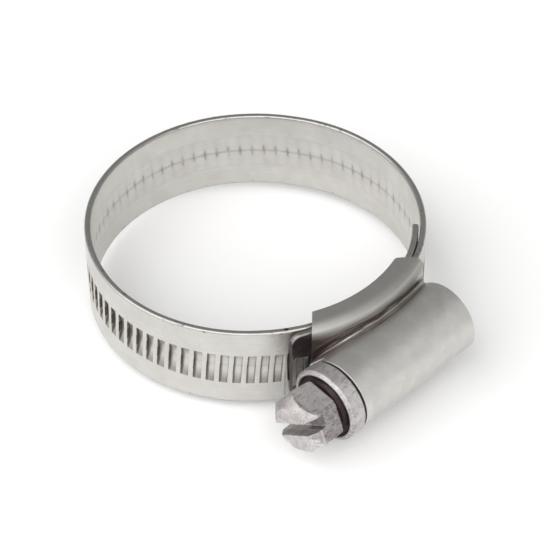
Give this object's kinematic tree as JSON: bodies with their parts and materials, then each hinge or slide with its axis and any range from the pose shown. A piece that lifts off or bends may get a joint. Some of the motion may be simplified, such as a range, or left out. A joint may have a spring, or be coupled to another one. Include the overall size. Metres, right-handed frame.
{
  "type": "hose clamp",
  "caption": "Worm-drive hose clamp: slotted steel band, folded housing and hexagon-headed screw that draws the band in round a hose.",
  "frame": {"origin": "on the hose axis, at mid width of the band", "axes": "+Z along the hose axis; -Y towards the housing; +X along the screw, away from its head"},
  "size_m": [0.0425, 0.0511, 0.0136],
  "materials": {
    "housing_sheet": "satin stainless sheet",
    "screw_steel": "satin machined stainless",
    "band_steel": "bright rolled stainless strip"
  },
  "bodies": {
    "housing": {"housing": "housing_sheet", "band_start": "band_steel"},
    "screw": {"worm_screw": "screw_steel"},
    "free_end": {"band_free_end": "band_steel"},
    "tongue": {"band_tongue": "band_steel"},
    "band_link_01": {"band_link_01": "band_steel"},
    "band_link_02": {"band_link_02": "band_steel"},
    "band_link_03": {"band_link_03": "band_steel"},
    "band_link_04": {"band_link_04": "band_steel"},
    "band_link_05": {"band_link_05": "band_steel"},
    "band_link_06": {"band_link_06": "band_steel"},
    "band_link_07": {"band_link_07": "band_steel"},
    "band_link_08": {"band_link_08": "band_steel"},
    "band_link_09": {"band_link_09": "band_steel"},
    "band_link_10": {"band_link_10": "band_steel"},
    "band_link_11": {"band_link_11": "band_steel"},
    "band_link_12": {"band_link_12": "band_steel"},
    "band_link_13": {"band_link_13": "band_steel"}
  },
  "joints": [
    {"name": "screw_turn", "type": "hinge", "parent": "housing", "child": "screw", "pos_m": [0, -0.02551, 0], "axis": [1, 0, 0], "range_deg": [0, 6750]},
    {"name": "band_draw", "type": "hinge", "parent": "housing", "child": "free_end", "pos_m": [0, -0.0007, 0], "axis": [0, 0, -1], "range_deg": [0, 82.51]},
    {"name": "tongue_flex", "type": "hinge", "parent": "housing", "child": "tongue", "pos_m": [0.00704, -0.01913, 0], "axis": [0, 0, 1], "range_deg": [0, 8.26]},
    {"name": "band_flex_01", "type": "hinge", "parent": "housing", "child": "band_link_01", "pos_m": [-0.00854, -0.01849, 0], "axis": [0, 0, -1], "range_deg": [0, 11.37]},
    {"name": "band_flex_02", "type": "hinge", "parent": "band_link_01", "child": "band_link_02", "pos_m": [-0.01374, -0.01494, 0], "axis": [0, 0, -1], "range_deg": [0, 8.28]},
    {"name": "band_flex_03", "type": "hinge", "parent": "band_link_02", "child": "band_link_03", "pos_m": [-0.01768, -0.01004, 0], "axis": [0, 0, -1], "range_deg": [0, 5.78]},
    {"name": "band_flex_04", "type": "hinge", "parent": "band_link_03", "child": "band_link_04", "pos_m": [-0.01988, -0.00414, 0], "axis": [0, 0, -1], "range_deg": [0, 4.31]},
    {"name": "band_flex_05", "type": "hinge", "parent": "band_link_04", "child": "band_link_05", "pos_m": [-0.02012, 0.00215, 0], "axis": [0, 0, -1], "range_deg": [0, 3.93]},
    {"name": "band_flex_06", "type": "hinge", "parent": "band_link_05", "child": "band_link_06", "pos_m": [-0.01832, 0.00818, 0], "axis": [0, 0, -1], "range_deg": [0, 4.34]},
    {"name": "band_flex_14", "type": "hinge", "parent": "free_end", "child": "band_link_13", "pos_m": [0.02001, 0.00407, 0], "axis": [0, 0, 1], "range_deg": [0, 6.31]},
    {"name": "band_flex_13", "type": "hinge", "parent": "band_link_13", "child": "band_link_12", "pos_m": [0.01753, 0.00985, 0], "axis": [0, 0, 1], "range_deg": [0, 5.7]},
    {"name": "band_flex_12", "type": "hinge", "parent": "band_link_12", "child": "band_link_11", "pos_m": [0.01354, 0.01472, 0], "axis": [0, 0, 1], "range_deg": [0, 5.35]},
    {"name": "band_flex_11", "type": "hinge", "parent": "band_link_11", "child": "band_link_10", "pos_m": [0.0083, 0.0182, 0], "axis": [0, 0, 1], "range_deg": [0, 5.36]},
    {"name": "band_flex_10", "type": "hinge", "parent": "band_link_10", "child": "band_link_09", "pos_m": [0.00224, 0.01987, 0], "axis": [0, 0, 1], "range_deg": [0, 5.59]},
    {"name": "band_flex_09", "type": "hinge", "parent": "band_link_09", "child": "band_link_08", "pos_m": [-0.00405, 0.01959, 0], "axis": [0, 0, 1], "range_deg": [0, 5.74]},
    {"name": "band_flex_08", "type": "hinge", "parent": "band_link_08", "child": "band_link_07", "pos_m": [-0.00993, 0.01736, 0], "axis": [0, 0, 1], "range_deg": [0, 5.56]}
  ],
  "couplings": [
    {"joint": "band_draw", "follows": "screw_turn", "ratio": 0.012222},
    {"joint": "tongue_flex", "follows": "screw_turn", "ratio": 0.0012222},
    {"joint": "band_flex_01", "follows": "screw_turn", "ratio": 0.001683},
    {"joint": "band_flex_02", "follows": "screw_turn", "ratio": 0.0012259},
    {"joint": "band_flex_03", "follows": "screw_turn", "ratio": 0.00085433},
    {"joint": "band_flex_04", "follows": "screw_turn", "ratio": 0.00063678},
    {"joint": "band_flex_05", "follows": "screw_turn", "ratio": 0.00058056},
    {"joint": "band_flex_06", "follows": "screw_turn", "ratio": 0.00064167},
    {"joint": "band_flex_14", "follows": "screw_turn", "ratio": 0.00093378},
    {"joint": "band_flex_13", "follows": "screw_turn", "ratio": 0.00084333},
    {"joint": "band_flex_12", "follows": "screw_turn", "ratio": 0.00079078},
    {"joint": "band_flex_11", "follows": "screw_turn", "ratio": 0.000792},
    {"joint": "band_flex_10", "follows": "screw_turn", "ratio": 0.00082622},
    {"joint": "band_flex_09", "follows": "screw_turn", "ratio": 0.00084822},
    {"joint": "band_flex_08", "follows": "screw_turn", "ratio": 0.00082256}
  ]
}
